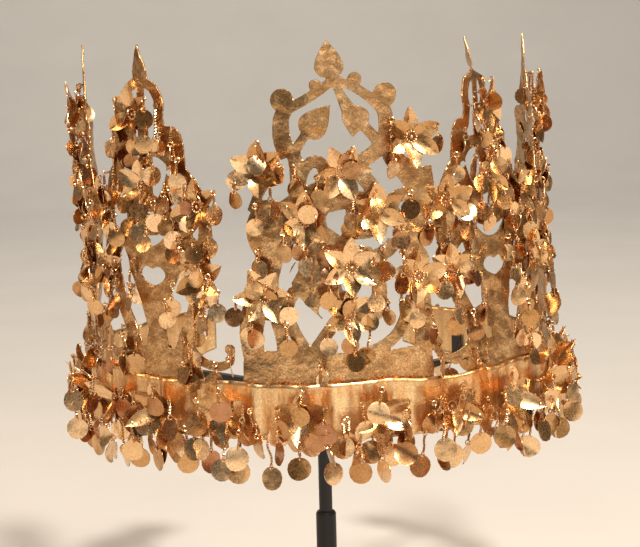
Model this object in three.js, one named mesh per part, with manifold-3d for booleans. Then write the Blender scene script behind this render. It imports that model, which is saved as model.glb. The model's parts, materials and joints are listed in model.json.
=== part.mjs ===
// A gold crown of beaten sheet: an open headband that carries five openwork trees, six-petalled
// rosettes and hanging spangles, held up on a plain black display stand.
//
// Millimetres, +Z up. The crown's front faces -Y and the origin is the middle of the foot's underside.
// Sheet parts are drawn flat, as a goldsmith cuts them: u runs along the headband, v runs up and w
// runs outwards. The flat patterns are then rolled onto the headband's circle.

import * as THREE from 'three';
import { mergeVertices } from 'three/addons/utils/BufferGeometryUtils.js';
import Module from 'manifold-3d';

const wasm = await Module();
wasm.setup();

// A corner that stands out less than this from a straight edge is dropped when solids are joined.
const FINEST = 0.02;

// Clearance left between two pieces that touch.
const GAP = 0.3;

// Headband.
const BAND_RADIUS = 85; // to its outer face
const BAND_HEIGHT = 19;
const BAND_LENGTH = 450; // along its outer face, from end to end
const BAND_SHEET = 0.6;
const BAND_WAVE = 0.5; // how far the hand-cut top edge rises and falls
const BAND_WAVE_LENGTH = 56;
const BAND_END_TAPER = 6; // the ends narrow to this height less than the band
const TIE_HOLE_DIAMETER = 4;
const TIE_HOLE_INSET = 6.4; // from the band's end to the middle of the hole

// Trees.
const TREE_HEIGHT = 111; // above the headband's top edge
const TREE_SHEET = 0.6;
const TREE_PITCH = 66; // along the headband, between two trees of the pattern's own size
const TREE_TONGUE = 6; // how far each tree reaches down behind the headband
const TREE_GAP = 0.45; // between a tree and the headband's inner face
const TWIST_FOOT = TREE_HEIGHT * 0.87; // a topmost leaf is twisted above this height
const TWIST_LENGTH = 5; // over which its twist grows

// Rosettes.
const ROSETTE_RADIUS = 10.4;
const PETAL_COUNT = 6;
const PETAL_WIDTH = 5.2;
const BOSS_RADIUS = 2.3;
const BOSS_HEIGHT = 1.4;
const PETAL_CREST = 0.9; // height of the ridge along a petal's middle
const ROSETTE_STALK = 0.6; // the tie wire that holds a rosette off the sheet
const PETAL_RISE = 1.6; // how far a petal's middle stands out from the rosette's plate
const BAND_ROSETTE_COUNT = 18;
const BAND_ROSETTE_HEIGHT = 8.6; // above the headband's lower edge

// Spangles: round discs that hang on wire from the petal tips.
const BAND_DISC_DIAMETER = 7.4;
const TREE_DISC_DIAMETER = 6.2;
const DISC_SHEET = 0.5;
const DISC_SIDES = 6;
const WIRE = 0.8;
const BAND_DISC_DROP = 6; // wire between the petal tip and the disc
const TREE_DISC_DROP = 3.6;
const BAND_SPANGLE_REACH = 13.5; // how far a petal that carries a spangle bends out
const TREE_SPANGLE_REACH = 5.6;

// Display stand.
const FOOT_DIAMETER = 130;
const FOOT_HEIGHT = 10;
const FOOT_BEVEL = 1.2;
const SLEEVE_DIAMETER = 7.6;
const SLEEVE_TOP = 53; // above the table
const SLEEVE_SHOULDER = 0.6;
const ROD_DIAMETER = 5;
const BAND_LIFT = 100; // from the table to the headband's lower edge
const HUB_DIAMETER = 14;
const HUB_HEIGHT = 6;
const ARM_WIDTH = 3;
const ARM_HEIGHT = 2.4;
const ARM_LIP = 2.2; // the hook outside the headband's lower edge
const ARM_PRONG = 8; // the prong inside it
const ARM_ROSETTE_GAPS = [-8, -3, 3, 8]; // arms pass between rosettes, counted from the front

const BAND_TOP = BAND_LIFT + BAND_HEIGHT;
const FACET_LENGTH = BAND_RADIUS / 4; // short enough that the facets follow the headband's circle
const ROUND_SIDES = 10;

// Materials.
const gold = new THREE.MeshStandardMaterial({ color: 0xd9a441, roughness: 0.34, metalness: 1 });
const paleGold = new THREE.MeshStandardMaterial({ color: 0xe3b660, roughness: 0.3, metalness: 1 });
const blackPaint = new THREE.MeshStandardMaterial({ color: 0x151515, roughness: 0.5, metalness: 0.2 });

// Turns a three.js geometry into a solid that can be joined and cut.
function solidOf(geometry) {
  const bare = geometry.index ? geometry.toNonIndexed() : geometry.clone();
  bare.deleteAttribute('normal');
  bare.deleteAttribute('uv');
  const merged = mergeVertices(bare, 1e-4);
  return new wasm.Manifold(
    new wasm.Mesh({
      numProp: 3,
      vertProperties: new Float32Array(merged.attributes.position.array),
      triVerts: new Uint32Array(merged.index.array),
    }),
  );
}

// Turns a solid back into its corner points and its triangles.
function meshOf(solid) {
  const mesh = solid.getMesh();
  const points = [];
  for (let i = 0; i < mesh.numVert; i++) {
    const at = i * mesh.numProp;
    points.push(new THREE.Vector3().fromArray(mesh.vertProperties, at));
  }
  const triangles = [];
  for (let i = 0; i < mesh.triVerts.length; i += 3) {
    triangles.push(Array.from(mesh.triVerts.slice(i, i + 3)));
  }
  return { points, triangles };
}

function geometryOf({ points, triangles }) {
  const geometry = new THREE.BufferGeometry();
  geometry.setAttribute('position', new THREE.Float32BufferAttribute(points.flatMap((p) => p.toArray()), 3));
  geometry.setIndex(triangles.flat());
  geometry.computeVertexNormals();
  return geometry;
}

// Joins solids, and drops the corners that this leaves along straight edges.
const joined = (solids) => solids.reduce((a, b) => a.add(b)).asOriginal().setTolerance(FINEST);

// Places a point of a flat pattern on the crown. radius is that of the pattern's back face at v = 0,
// angle turns it round the crown from the front and bottom is the height of v = 0. lean tips it inwards,
// sway tips it sideways and twist turns its topmost leaf, all in degrees.
function onCrown(point, { radius, angle = 0, bottom = BAND_TOP, lean = 0, sway = 0, twist = 0 }) {
  const top = THREE.MathUtils.smoothstep(point.y, TWIST_FOOT, TWIST_FOOT + TWIST_LENGTH);
  const turnedFlat = new THREE.Vector2(point.x, point.z);
  turnedFlat.rotateAround(new THREE.Vector2(), top * THREE.MathUtils.degToRad(twist));
  const { x: u, y: w } = turnedFlat;
  const v = point.y;
  const rise = Math.max(v, 0);
  const along = u + rise * Math.tan(THREE.MathUtils.degToRad(sway));
  const out = radius + w - rise * Math.tan(THREE.MathUtils.degToRad(lean));
  const turn = angle + along / radius;
  return new THREE.Vector3(out * Math.sin(turn), -out * Math.cos(turn), bottom + v);
}

// Halves every edge that runs further than reach along the headband, so that a flat pattern can be rolled.
function splitLongEdges({ points, triangles }, reach) {
  const middles = new Map();
  const middleOf = (a, b) => {
    if (Math.abs(points[a].x - points[b].x) <= reach) return null;
    const key = a < b ? `${a} ${b}` : `${b} ${a}`;
    if (!middles.has(key)) middles.set(key, points.push(points[a].clone().lerp(points[b], 0.5)) - 1);
    return middles.get(key);
  };
  const finer = triangles.flatMap((corners) => {
    const middle = corners.map((corner, i) => middleOf(corner, corners[(i + 1) % 3]));
    const count = middle.filter((m) => m !== null).length;
    if (count === 0) return [corners];
    // Turned so that a single middle is on the first edge, and of two the second follows the first.
    const first = count === 1 ? middle.findIndex((m) => m !== null) : (middle.indexOf(null) + 1) % 3;
    const [a, b, c] = [0, 1, 2].map((i) => corners[(first + i) % 3]);
    const [ab, bc, ca] = [0, 1, 2].map((i) => middle[(first + i) % 3]);
    if (count === 1) return [[a, ab, c], [ab, b, c]];
    if (count === 2) return [[ab, b, bc], [a, ab, bc], [a, bc, c]];
    return [[a, ab, ca], [ab, b, bc], [ca, bc, c], [ab, bc, ca]];
  });
  return middles.size ? splitLongEdges({ points, triangles: finer }, reach) : { points, triangles };
}

// Rolls a flat pattern onto the crown.
function rolled(pattern, seat) {
  const { points, triangles } = splitLongEdges(meshOf(pattern), FACET_LENGTH);
  return geometryOf({ points: points.map((p) => onCrown(p, seat)), triangles });
}

// Flat shapes. Each is a list of points round an outline.
const outlineOf = (shape, steps) => shape.getPoints(steps).slice(0, -1);
const mirrored = (outline) => outline.map((p) => new THREE.Vector2(-p.x, p.y)).reverse();
const pair = (outlines) => outlines.flatMap((o) => [o, mirrored(o)]);
const polygon = (corners) => corners.map(([x, y]) => new THREE.Vector2(x, y));
const mirroredCorners = (corners) => [...corners, ...corners.map(([x, y]) => [-x, y]).reverse()];

function disc(x, y, radius, sides = ROUND_SIDES) {
  const circle = new THREE.EllipseCurve(x, y, radius, radius, 0, 2 * Math.PI);
  return circle.getPoints(sides).slice(0, -1);
}

// A strip of sheet along a smooth line, with its width at each end.
function strip(line, startWidth, endWidth = startWidth, steps = 3) {
  const curve = new THREE.SplineCurve(line.map(([x, y]) => new THREE.Vector2(x, y)));
  const left = [];
  const right = [];
  for (let i = 0; i <= steps; i++) {
    const share = i / steps;
    const point = curve.getPoint(share);
    const tangent = curve.getTangent(share);
    const half = THREE.MathUtils.lerp(startWidth, endWidth, share) / 2;
    const across = new THREE.Vector2(-tangent.y, tangent.x).multiplyScalar(half);
    left.push(point.clone().add(across));
    right.unshift(point.clone().sub(across));
  }
  return [...right, ...left];
}

// A spade-shaped leaf that grows from its base towards its tip.
function leaf([baseX, baseY], [tipX, tipY], width) {
  const base = new THREE.Vector2(baseX, baseY);
  const reach = new THREE.Vector2(tipX, tipY).sub(base);
  const length = reach.length();
  const shape = new THREE.Shape();
  shape.moveTo(0, 0);
  shape.bezierCurveTo(-length * 0.05, -width * 0.66, length * 0.45, -width * 0.66, length, 0);
  shape.bezierCurveTo(length * 0.45, width * 0.66, -length * 0.05, width * 0.66, 0, 0);
  return outlineOf(shape, 3).map((p) => p.rotateAround(new THREE.Vector2(), reach.angle()).add(base));
}

function heart(x, y, width, height) {
  const half = width / 2;
  const shape = new THREE.Shape();
  shape.moveTo(x, y);
  shape.quadraticCurveTo(x + half, y + height * 0.5, x + half, y + height * 0.75);
  shape.quadraticCurveTo(x + half, y + height, x + half * 0.5, y + height);
  shape.quadraticCurveTo(x, y + height, x, y + height * 0.7);
  shape.quadraticCurveTo(x, y + height, x - half * 0.5, y + height);
  shape.quadraticCurveTo(x - half, y + height, x - half, y + height * 0.75);
  shape.quadraticCurveTo(x - half, y + height * 0.5, x, y);
  return outlineOf(shape, 2);
}

// A sagging crescent: its horns are at (±width / 2, y).
function crescent(y, width, sag, thickness) {
  const half = width / 2;
  const shape = new THREE.Shape();
  shape.moveTo(-half, y);
  shape.quadraticCurveTo(0, y - 2 * sag, half, y);
  shape.quadraticCurveTo(0, y - 2 * (sag - thickness), -half, y);
  return outlineOf(shape, 4);
}

// Cuts flat outlines from sheet and joins them, then cuts the openings through.
function cutSheet(outlines, openings, thickness, scale = 1) {
  const plate = (outline, below, depth) => {
    const shape = new THREE.Shape(outline.map((p) => p.clone().multiplyScalar(scale)));
    const geometry = new THREE.ExtrudeGeometry(shape, { depth, bevelEnabled: false });
    return solidOf(geometry.translate(0, 0, -below));
  };
  const sheet = joined(outlines.map((o) => plate(o, 0, thickness)));
  const through = openings.map((o) => plate(o, thickness, 3 * thickness));
  return sheet.subtract(joined(through));
}

// The patterns below are drawn for a tree of this height, and scaled to the real one.
const PATTERN_HEIGHT = 111;
const TREE_SCALE = TREE_HEIGHT / PATTERN_HEIGHT;
const TONGUE_FOOT = -TREE_TONGUE / TREE_SCALE;
const TREE_STEP = TREE_PITCH * TREE_SCALE; // larger trees stand further apart

// Front tree: a wide foot with ribs and vines, a palmette between them, and two arms that meet over it
// under the topmost leaf.
function frontTreePattern() {
  const foot = polygon([
    [-31.6, TONGUE_FOOT], [32.6, TONGUE_FOOT], [32.6, 3], [31.4, 9], [26, 11.4], [12, 9.4], [-9, 10.6],
    [-31.4, 11],
  ]);
  const palmette = polygon([
    [-12, 45], [-7, 38.6], [3, 34], [12, 37.4], [12, 44], [5.4, 45.6], [-2, 51], [-3, 60], [-9, 60],
    [-13, 54],
  ]);
  const vines = [
    strip([[-27.6, 8], [-28.2, 16], [-26, 26], [-22.4, 36], [-20.4, 46]], 7.5, 9.5, 4),
    disc(-20.2, 49.6, 9, 10),
    strip([[-26, 55], [-23.6, 62], [-20.6, 68]], 3.6, 3.4, 2),
    strip([[28.6, 70], [29.6, 60], [27.4, 50], [25.6, 42], [27, 32], [29.4, 22], [28.4, 8]], 10, 6.2, 6),
    strip([[-17.6, 9], [-20.4, 24], [-21.4, 31]], 4.2, 4.2, 2),
    strip([[-9.1, 8.5], [-13.6, 16], [-16, 24], [-12, 32]], 4.4, 4.4, 3),
    strip([[-9.1, 8.5], [-3.4, 16], [0.6, 22], [4, 36]], 4.4, 4.4, 3),
    strip([[6, 8], [15.3, 11.5], [21, 17], [25.6, 28]], 4.2, 4.2, 3),
    strip([[0, 20], [7, 18.6], [13, 22], [14.5, 30], [11.6, 38]], 5, 5, 4),
    leaf([-6.6, 42], [-4.9, 20.7], 17.5),
    strip([[4, 42], [12, 40.6], [18.6, 44], [21, 51], [17, 57], [8, 59.6], [-4, 58]], 4.6, 5.6, 6),
    strip([[20, 46], [25.6, 44]], 4.2, 4.2, 1),
    strip([[18, 58], [23, 60.6], [29, 60]], 5, 5, 2),
    strip([[-18, 56], [-10, 61], [-3, 64.4], [4.6, 70]], 5, 5, 2),
    strip([[-14, 55], [-11, 66], [-12.4, 77]], 5, 4.8, 3),
    strip([[-11, 62], [-8.4, 70], [-3.6, 71.6], [-1, 66]], 4, 4.4, 3),
    strip([[3, 70], [13, 63], [15.4, 56]], 5.2, 5.2, 2),
    strip([[3, 69], [11, 72.4], [17.6, 78]], 5, 5, 2),
    strip([[17.6, 79], [20, 72.6], [24.4, 68], [28.6, 63]], 5.6, 8, 3),
    strip([[-13, 74], [-15.3, 80], [-15, 87], [-12.6, 90.4]], 6.2, 4.6, 3),
    strip([[-13.6, 89], [-6, 92.8], [1, 98]], 4.4, 3.6, 2),
    strip([[15.6, 75], [18, 82], [15.4, 91]], 6, 4.8, 3),
    strip([[16.6, 90], [9, 93.8], [1.6, 98]], 4.4, 3.6, 2),
    disc(-14.9, 91.8, 3.8, 8),
    disc(17.9, 92.8, 4, 8),
    disc(-4.2, 96.2, 2.1, 6),
    disc(8.2, 98, 2.3, 6),
    strip([[1.8, 97], [6.6, 87.6]], 2, 4.8, 1),
    leaf([-8.2, 80.4], [0.4, 90.2], 9.4),
    strip([[-6.6, 82.2], [-12.4, 74.6]], 3, 3.6, 1),
    leaf([8.8, 89.6], [7, 79.4], 9.2),
    strip([[10.2, 83.8], [16.4, 76.6]], 3.4, 4, 1),
    strip([[0.6, 96.4], [0.3, 100]], 5, 5, 1),
    leaf([0.5, 98.6], [-0.3, PATTERN_HEIGHT], 10),
  ];
  return cutSheet([foot, palmette, ...vines], [disc(-3.2, 23.6, 2.7, 8)], TREE_SHEET, TREE_SCALE);
}

// Side tree: a stem with a heart and a moon cut through it stands between two branches, and two arms
// bend down from the topmost leaf to a pair of raised lobes.
function sideTreePattern() {
  const foot = [[18.6, TONGUE_FOOT], [18.6, 2], [15.6, 6.8], [9, 9.8]];
  const stem = [
    [5.4, 6], [4.3, 17], [7.4, 26], [12, 35], [14.6, 46], [12, 54], [8, 59.5], [3.2, 60], [2.6, 84],
  ];
  const branches = pair([
    strip([[8.6, 4], [12.6, 13], [17, 22], [20.8, 32], [20.4, 41], [12.6, 48]], 6.4, 6.4, 5),
    strip([[19.6, 38], [23, 48], [21.4, 58]], 6, 5, 2),
    strip([[13, 13], [15.4, 8.6], [20, 5.8], [25, 4.8], [28.6, 7]], 4.6, 2.8, 3),
    disc(29, 8.4, 2.2, 6),
    strip([[6, 57], [13.6, 70], [12.2, 79]], 5, 9, 2),
    disc(12, 79.4, 4.5, 8),
    strip([[14, 70], [19, 64], [21.4, 56]], 5.6, 5.6, 2),
    strip([[12, 72], [-0.5, 76]], 4.6, 4.6, 1),
    strip([[0.4, 98.2], [6, 96], [8.2, 89], [10, 80]], 3.8, 4.6, 3),
  ]);
  const middle = [
    polygon(mirroredCorners(stem)),
    strip([[0, 82], [0, 99]], 4.8, 3.4, 1),
    leaf([0, 96.8], [0, PATTERN_HEIGHT], 8),
  ];
  const holes = [heart(0, 28.4, 10.6, 8.6), crescent(47, 17, 3.6, 2.8), disc(0, 53, 3.1, 8)];
  const outlines = [polygon(mirroredCorners(foot)), ...middle, ...branches];
  return cutSheet(outlines, holes, TREE_SHEET, TREE_SCALE);
}

// Headband: a strip with a hand-cut top edge, narrower at its ends, which are pierced for a tie.
function headband() {
  const columns = Math.round(BAND_LENGTH / FACET_LENGTH) * 2;
  const strap = new THREE.BoxGeometry(BAND_LENGTH, BAND_HEIGHT, BAND_SHEET, columns, 1, 1);
  strap.translate(0, BAND_HEIGHT / 2, BAND_SHEET / 2);
  const corners = strap.attributes.position;
  for (let i = 0; i < corners.count; i++) {
    const corner = new THREE.Vector3().fromBufferAttribute(corners, i);
    const isTop = corner.y > BAND_HEIGHT / 2;
    const isEnd = Math.abs(corner.x) > (BAND_LENGTH - FACET_LENGTH / 2) / 2;
    const wave = isTop ? BAND_WAVE * Math.sin((2 * Math.PI * corner.x) / BAND_WAVE_LENGTH) : 0;
    corner.y += wave + (isEnd ? (BAND_END_TAPER / 2) * (isTop ? -1 : 1) : 0);
    corners.setXYZ(i, ...onCrown(corner, BAND_SEAT));
  }
  const punchLength = TIE_HOLE_DIAMETER * 3;
  const punch = new THREE.CylinderGeometry(TIE_HOLE_DIAMETER / 2, TIE_HOLE_DIAMETER / 2, punchLength, 8);
  const holeAt = (BAND_LENGTH / 2 - TIE_HOLE_INSET) / BAND_SEAT.radius;
  const holes = [-holeAt, holeAt].map((turn) =>
    solidOf(punch.clone().translate(0, -BAND_SEAT.radius, BAND_LIFT + BAND_HEIGHT / 2).rotateZ(turn)),
  );
  return geometryOf(meshOf(solidOf(strap).subtract(joined(holes))));
}

// Radius of the face behind the headband that the trees' tongues stand against.
const BAND_SEAT = { radius: BAND_RADIUS - BAND_SHEET, bottom: BAND_LIFT };
const TREE_RADIUS = BAND_SEAT.radius - TREE_GAP - TREE_SHEET;

// One spangle: its wire runs through the petal at hook, and its disc hangs from the wire.
function spangle(hook, diameter, drop) {
  const radius = diameter / 2;
  const centre = new THREE.Vector2(hook.x, hook.y - drop - radius);
  const wire = [-1, 1].map((side) => new THREE.Vector2(hook.x + (side * WIRE) / 2, hook.y + WIRE));
  const neck = [1, -1].map((side) => new THREE.Vector2(hook.x + (side * WIRE) / 2, centre.y + radius));
  const rim = disc(centre.x, centre.y, radius, DISC_SIDES).slice(1);
  rim.forEach((corner) => corner.rotateAround(centre, Math.PI / 2));
  const shape = new THREE.Shape([...wire, neck[0], ...rim.reverse(), neck[1]]);
  const geometry = new THREE.ExtrudeGeometry(shape, { depth: DISC_SHEET, bevelEnabled: false });
  return solidOf(geometry.translate(0, 0, hook.z - DISC_SHEET / 2));
}

// How far each petal's tip bends out beyond its middle, one by one round a rosette.
const PETAL_BENDS = [0.4, 1.6, 0.8, 2, 0.2, 1.2];

// One rosette, lying in its own plane: x along the headband, y up, z outwards from the sheet it is tied
// to. turn is the first petal's direction and lift holds the rosette further off the sheet. spangles
// lists the petals that carry one, and reach is how far those petals bend out.
function rosette({ turn, lift = 0, spangles }, { diameter, drop, reach: hangingBend }) {
  const plate = GAP + ROSETTE_STALK + lift;
  const valley = Math.PI / PETAL_COUNT;
  const widest = BOSS_RADIUS + (ROSETTE_RADIUS - BOSS_RADIUS) / 2;
  const boss = 0;
  const stalk = 1;
  const points = [new THREE.Vector3(0, 0, plate + BOSS_HEIGHT), new THREE.Vector3(0, 0, GAP)];
  const triangles = [];
  const hooks = [];
  const perPetal = 5;
  for (let i = 0; i < PETAL_COUNT; i++) {
    const direction = THREE.MathUtils.degToRad(turn + (360 * i) / PETAL_COUNT);
    const along = new THREE.Vector2(Math.cos(direction), Math.sin(direction));
    const across = new THREE.Vector2(-along.y, along.x);
    const bend = spangles.includes(i) ? hangingBend - plate : PETAL_RISE + PETAL_BENDS[i];
    const place = (reach, side, out) => {
      const flat = along.clone().multiplyScalar(reach).addScaledVector(across, side);
      return new THREE.Vector3(flat.x, flat.y, plate + out);
    };
    const tip = place(ROSETTE_RADIUS, 0, bend);
    const middle = place(widest, 0, PETAL_RISE);
    hooks.push(tip.clone().lerp(middle, WIRE / (ROSETTE_RADIUS - widest)));
    points.push(
      place(BOSS_RADIUS * Math.cos(valley), -BOSS_RADIUS * Math.sin(valley), 0),
      place(widest, -PETAL_WIDTH / 2, PETAL_RISE),
      tip,
      place(widest, PETAL_WIDTH / 2, PETAL_RISE),
      place(widest, 0, PETAL_RISE + PETAL_CREST),
    );
    const first = stalk + 1 + perPetal * i;
    const next = stalk + 1 + perPetal * ((i + 1) % PETAL_COUNT);
    const crest = first + perPetal - 1;
    const rim = [first, first + 1, first + 2, first + 3, next, boss];
    rim.forEach((corner, k) => triangles.push([corner, rim[(k + 1) % rim.length], crest]));
    const [root, right, end, left] = rim;
    triangles.push([stalk, right, root], [stalk, left, right], [stalk, next, left], [right, left, end]);
  }
  const flower = solidOf(geometryOf({ points, triangles }));
  const hanging = spangles.map((i) => spangle(hooks[i], diameter, drop));
  return geometryOf(meshOf(joined([flower, ...hanging])));
}

// Stands a rosette on the outer face of a sheet at (u, v).
function seatRosette(mesh, u, v, seat, thickness) {
  const at = (du, dv, w) => onCrown(new THREE.Vector3(u + du, v + dv, w), seat);
  const origin = at(0, 0, thickness);
  const right = at(1, 0, thickness).sub(at(-1, 0, thickness)).normalize();
  const out = at(0, 0.01, thickness).sub(origin).cross(right).negate().normalize();
  const up = out.clone().cross(right);
  mesh.applyMatrix4(new THREE.Matrix4().makeBasis(right, up, out).setPosition(origin));
  return mesh;
}

function named(name, geometry, material) {
  const mesh = new THREE.Mesh(geometry, material);
  mesh.name = name;
  return mesh;
}

const crown = new THREE.Group();

// Headband and its rosettes.
crown.add(named('headband', headband(), gold));
const ROSETTE_PITCH = BAND_LENGTH / BAND_ROSETTE_COUNT;
const BAND_SPANGLE = { diameter: BAND_DISC_DIAMETER, drop: BAND_DISC_DROP, reach: BAND_SPANGLE_REACH };
for (let i = 0; i < BAND_ROSETTE_COUNT; i++) {
  const u = (i - (BAND_ROSETTE_COUNT - 1) / 2) * ROSETTE_PITCH;
  const style = { turn: 30, spangles: i % 2 ? [4] : [3, 5] };
  const mesh = named(`headband_rosette_${i + 1}`, rosette(style, BAND_SPANGLE), paleGold);
  crown.add(seatRosette(mesh, u, BAND_ROSETTE_HEIGHT, BAND_SEAT, BAND_SHEET));
}

// Where the rosettes sit on each tree's pattern.
const FRONT_ROSETTES = [
  { u: -8.8, v: 53.6, turn: 24, spangles: [4] },
  { u: 13.7, v: 55.6, turn: 30, spangles: [4] },
  { u: 2.6, v: 69.4, turn: 0, lift: 3, spangles: [] },
  { u: -23, v: 70, turn: 30, spangles: [3] },
  { u: 25.6, v: 79, turn: 30, spangles: [5] },
  { u: -23, v: 28.6, turn: 0, spangles: [4] },
  { u: 5, v: 38, turn: 30, lift: 3, spangles: [] },
  { u: 26.7, v: 33.8, turn: 20, spangles: [5] },
  { u: 3.8, v: 22, turn: 30, spangles: [4] },
];
const SIDE_ROSETTES = [
  { u: 0, v: 88, turn: 30, lift: 2, spangles: [4] },
  { u: 0, v: 64, turn: 30, spangles: [4] },
  { u: -21.6, v: 57.6, turn: 30, spangles: [3] },
  { u: 21.6, v: 57.6, turn: 30, spangles: [5] },
  { u: -21.4, v: 34, turn: 30, spangles: [4] },
  { u: 21.4, v: 34, turn: 30, spangles: [4] },
];

// The right front tree leans so far that this one rosette has to stand off to clear the front tree.
const BESIDE_FRONT = 2;
const STAND_OFF = 3.6;
const LEANING_ROSETTES = SIDE_ROSETTES.map((style, i) =>
  i === BESIDE_FRONT ? { ...style, lift: STAND_OFF } : style,
);

// The five trees, by their place along the headband. Each was bent by hand, so each leans its own way.
const frontTree = { pattern: frontTreePattern(), rosettes: FRONT_ROSETTES };
const sideTree = { pattern: sideTreePattern(), rosettes: SIDE_ROSETTES };
const leaningTree = { ...sideTree, rosettes: LEANING_ROSETTES };
const TREES = [
  { name: 'left_rear_tree', place: -2, lean: 0, sway: 0, twist: 0, ...sideTree },
  { name: 'left_front_tree', place: -1, lean: -1, sway: -1.7, twist: 8, ...sideTree },
  { name: 'front_tree', place: 0, lean: -0.5, sway: -0.8, twist: 0, ...frontTree },
  { name: 'right_front_tree', place: 1, lean: 3.5, sway: -5, twist: -60, ...leaningTree },
  { name: 'right_rear_tree', place: 2, lean: 4, sway: 0.5, twist: 0, ...sideTree },
];
const TREE_SPANGLE = { diameter: TREE_DISC_DIAMETER, drop: TREE_DISC_DROP, reach: TREE_SPANGLE_REACH };
for (const { name, place, lean, sway, twist, pattern, rosettes } of TREES) {
  const seat = { radius: TREE_RADIUS, angle: (place * TREE_STEP) / BAND_RADIUS, lean, sway, twist };
  crown.add(named(name, rolled(pattern, seat), gold));
  rosettes.forEach((style, i) => {
    const mesh = named(`${name}_rosette_${i + 1}`, rosette(style, TREE_SPANGLE), paleGold);
    crown.add(seatRosette(mesh, style.u * TREE_SCALE, style.v * TREE_SCALE, seat, TREE_SHEET));
  });
}

// Display stand: a round foot, a stepped post and a cradle whose arms hook under the headband's lower edge.
function turned(profile, sides = 12) {
  return new THREE.LatheGeometry(polygon(profile), sides).rotateX(Math.PI / 2);
}

function foot() {
  const radius = FOOT_DIAMETER / 2;
  const edge = FOOT_HEIGHT - FOOT_BEVEL;
  const profile = [[0, 0], [radius, 0], [radius, edge], [radius - FOOT_BEVEL, FOOT_HEIGHT], [0, FOOT_HEIGHT]];
  return turned(profile, 24);
}

const ARM_TOP = BAND_LIFT - GAP;
const HUB_BOTTOM = ARM_TOP - HUB_HEIGHT;

function post() {
  const rod = ROD_DIAMETER / 2;
  const sleeve = SLEEVE_DIAMETER / 2;
  const foot = FOOT_HEIGHT + GAP;
  const top = HUB_BOTTOM - GAP;
  return turned([
    [0, foot], [sleeve, foot], [sleeve, SLEEVE_TOP - SLEEVE_SHOULDER], [sleeve - SLEEVE_SHOULDER, SLEEVE_TOP],
    [rod, SLEEVE_TOP], [rod, top], [0, top],
  ]);
}

function cradle() {
  const block = (length, height, fromX) =>
    new THREE.BoxGeometry(length, ARM_WIDTH, height).translate(fromX + length / 2, 0, under + height / 2);
  const under = ARM_TOP - ARM_HEIGHT;
  const reach = BAND_RADIUS + GAP + ARM_HEIGHT;
  const inside = BAND_RADIUS - BAND_SHEET - GAP - ARM_HEIGHT;
  const hub = HUB_DIAMETER / 2;
  const parts = [solidOf(turned([[0, HUB_BOTTOM], [hub, HUB_BOTTOM], [hub, ARM_TOP], [0, ARM_TOP]]))];
  for (const gap of ARM_ROSETTE_GAPS) {
    const turn = (gap * ROSETTE_PITCH) / BAND_RADIUS - Math.PI / 2;
    const arm = [
      block(reach, ARM_HEIGHT, 0),
      block(ARM_HEIGHT, ARM_LIP + ARM_HEIGHT, reach - ARM_HEIGHT),
      block(ARM_HEIGHT, ARM_PRONG + ARM_HEIGHT, inside),
    ];
    parts.push(...arm.map((piece) => solidOf(piece.rotateZ(turn))));
  }
  return geometryOf(meshOf(joined(parts)));
}

crown.add(named('display_foot', foot(), blackPaint));
crown.add(named('display_post', post(), blackPaint));
crown.add(named('display_cradle', cradle(), blackPaint));

export default crown;
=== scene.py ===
"""A crown of beaten gold sheet: an open headband, five openwork trees, rosettes and hanging spangles on a stand.

Laid out as an add-on. Flat patterns are drawn in millimetres and rolled onto the crown; all else is in metres.
"""

import json
import math
import random
from typing import NamedTuple

import bmesh
import bpy
from mathutils import Matrix, Vector, noise

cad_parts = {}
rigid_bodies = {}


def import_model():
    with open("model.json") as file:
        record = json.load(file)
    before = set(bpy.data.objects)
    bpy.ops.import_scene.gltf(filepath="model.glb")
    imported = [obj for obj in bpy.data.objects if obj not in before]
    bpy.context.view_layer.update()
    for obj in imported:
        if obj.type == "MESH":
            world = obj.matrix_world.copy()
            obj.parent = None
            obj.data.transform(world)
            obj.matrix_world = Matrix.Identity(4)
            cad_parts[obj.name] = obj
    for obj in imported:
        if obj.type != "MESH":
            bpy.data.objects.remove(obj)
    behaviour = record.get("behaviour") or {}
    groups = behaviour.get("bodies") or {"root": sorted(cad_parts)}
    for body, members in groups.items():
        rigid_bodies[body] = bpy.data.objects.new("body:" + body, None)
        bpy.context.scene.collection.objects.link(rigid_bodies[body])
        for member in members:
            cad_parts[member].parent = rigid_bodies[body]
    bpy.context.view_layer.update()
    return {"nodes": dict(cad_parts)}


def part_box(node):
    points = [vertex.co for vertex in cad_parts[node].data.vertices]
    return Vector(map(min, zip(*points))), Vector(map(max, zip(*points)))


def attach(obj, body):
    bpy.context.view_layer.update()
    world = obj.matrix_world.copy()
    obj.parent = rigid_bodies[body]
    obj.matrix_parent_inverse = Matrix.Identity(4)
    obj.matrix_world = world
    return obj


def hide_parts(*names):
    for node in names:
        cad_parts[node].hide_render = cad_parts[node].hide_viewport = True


bl_info = {
    "name": "Gold Crown",
    "version": (1, 0, 0),
    "blender": (4, 5, 0),
    "location": "3D View > Sidebar > Crown",
    "description": "Makes a gold crown of cut sheet, rosettes and spangles around its frame",
    "category": "Object",
}

MM = 0.001
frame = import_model()
band_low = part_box("headband")[0]
foot_low, foot_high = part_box("display_foot")


# Settings that a user would change.


def length(name, description, default_mm):
    return bpy.props.FloatProperty(name=name, description=description, default=default_mm * MM, unit="LENGTH")


def tint(name, description, default):
    return bpy.props.StringProperty(name=name, description=f"{description}, as an sRGB hex", default=default)


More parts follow.
